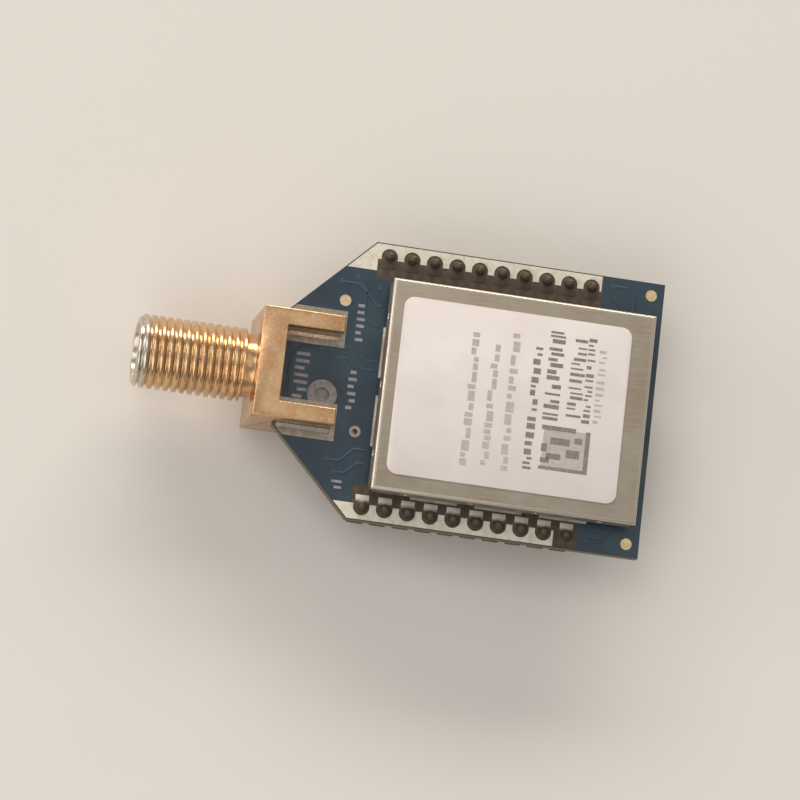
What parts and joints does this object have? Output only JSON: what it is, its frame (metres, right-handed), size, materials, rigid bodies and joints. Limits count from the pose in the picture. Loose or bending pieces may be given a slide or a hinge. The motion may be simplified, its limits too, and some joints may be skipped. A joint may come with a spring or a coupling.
{
  "type": "wifi module",
  "caption": "Plug-in wifi module: a small circuit board with a shielded radio, pin headers underneath and a threaded antenna jack on its narrow end.",
  "frame": {"origin": "centre of the pin field, in the plane where the undersides of the two header bodies seat on their sockets", "axes": "+X from the antenna jack to the board's flat end, +Z from the pins to the shield's label"},
  "size_m": [0.0453, 0.0244, 0.0098],
  "materials": {
    "board_laminate": "blue solder mask over glass-epoxy laminate, satin gloss",
    "white_print": "screen-printed white epoxy ink",
    "gold_plate": "gold flash over machined or stamped brass, satin",
    "tin_solder": "reflowed tin solder and tinned copper, dull bright",
    "header_plastic": "black moulded high-temperature nylon",
    "shield_sheet": "rolled nickel-silver sheet, fine rolling lines",
    "label_stock": "white matt label stock with grey print blocks",
    "insulator_plastic": "turned white fluoropolymer",
    "chip_resin": "black moulded epoxy",
    "crystal_can": "nickel-plated lid on a ceramic base",
    "ferrite": "dark grey pressed ferrite",
    "passive_ceramic": "sintered ceramic with tinned ends"
  },
  "bodies": {
    "root": {"circuit_board": "board_laminate", "edge_print": "white_print", "fiducials": "gold_plate", "test_ring": "tin_solder", "ring_fill": "tin_solder", "via_ring": "tin_solder", "ground_lands": "tin_solder", "feed_land": "tin_solder", "header_body_a": "header_plastic", "header_body_b": "header_plastic", "header_pins_a": "gold_plate", "header_pins_b": "gold_plate", "pin_solder_a": "tin_solder", "pin_solder_b": "tin_solder", "shield_frame": "shield_sheet", "shield_solder": "tin_solder", "shield_cover": "shield_sheet", "label": "label_stock", "antenna_jack": "gold_plate", "jack_insulator": "insulator_plastic", "jack_contact": "gold_plate", "jack_solder": "tin_solder", "radio_chip": "chip_resin", "microcontroller": "chip_resin", "flash_memory": "chip_resin", "power_amplifier": "chip_resin", "antenna_switch": "chip_resin", "antenna_filter": "passive_ceramic", "main_crystal": "crystal_can", "clock_crystal": "crystal_can", "voltage_regulator": "chip_resin", "power_inductor": "ferrite", "capacitors": "passive_ceramic", "resistors": "passive_ceramic"}
  },
  "joints": []
}
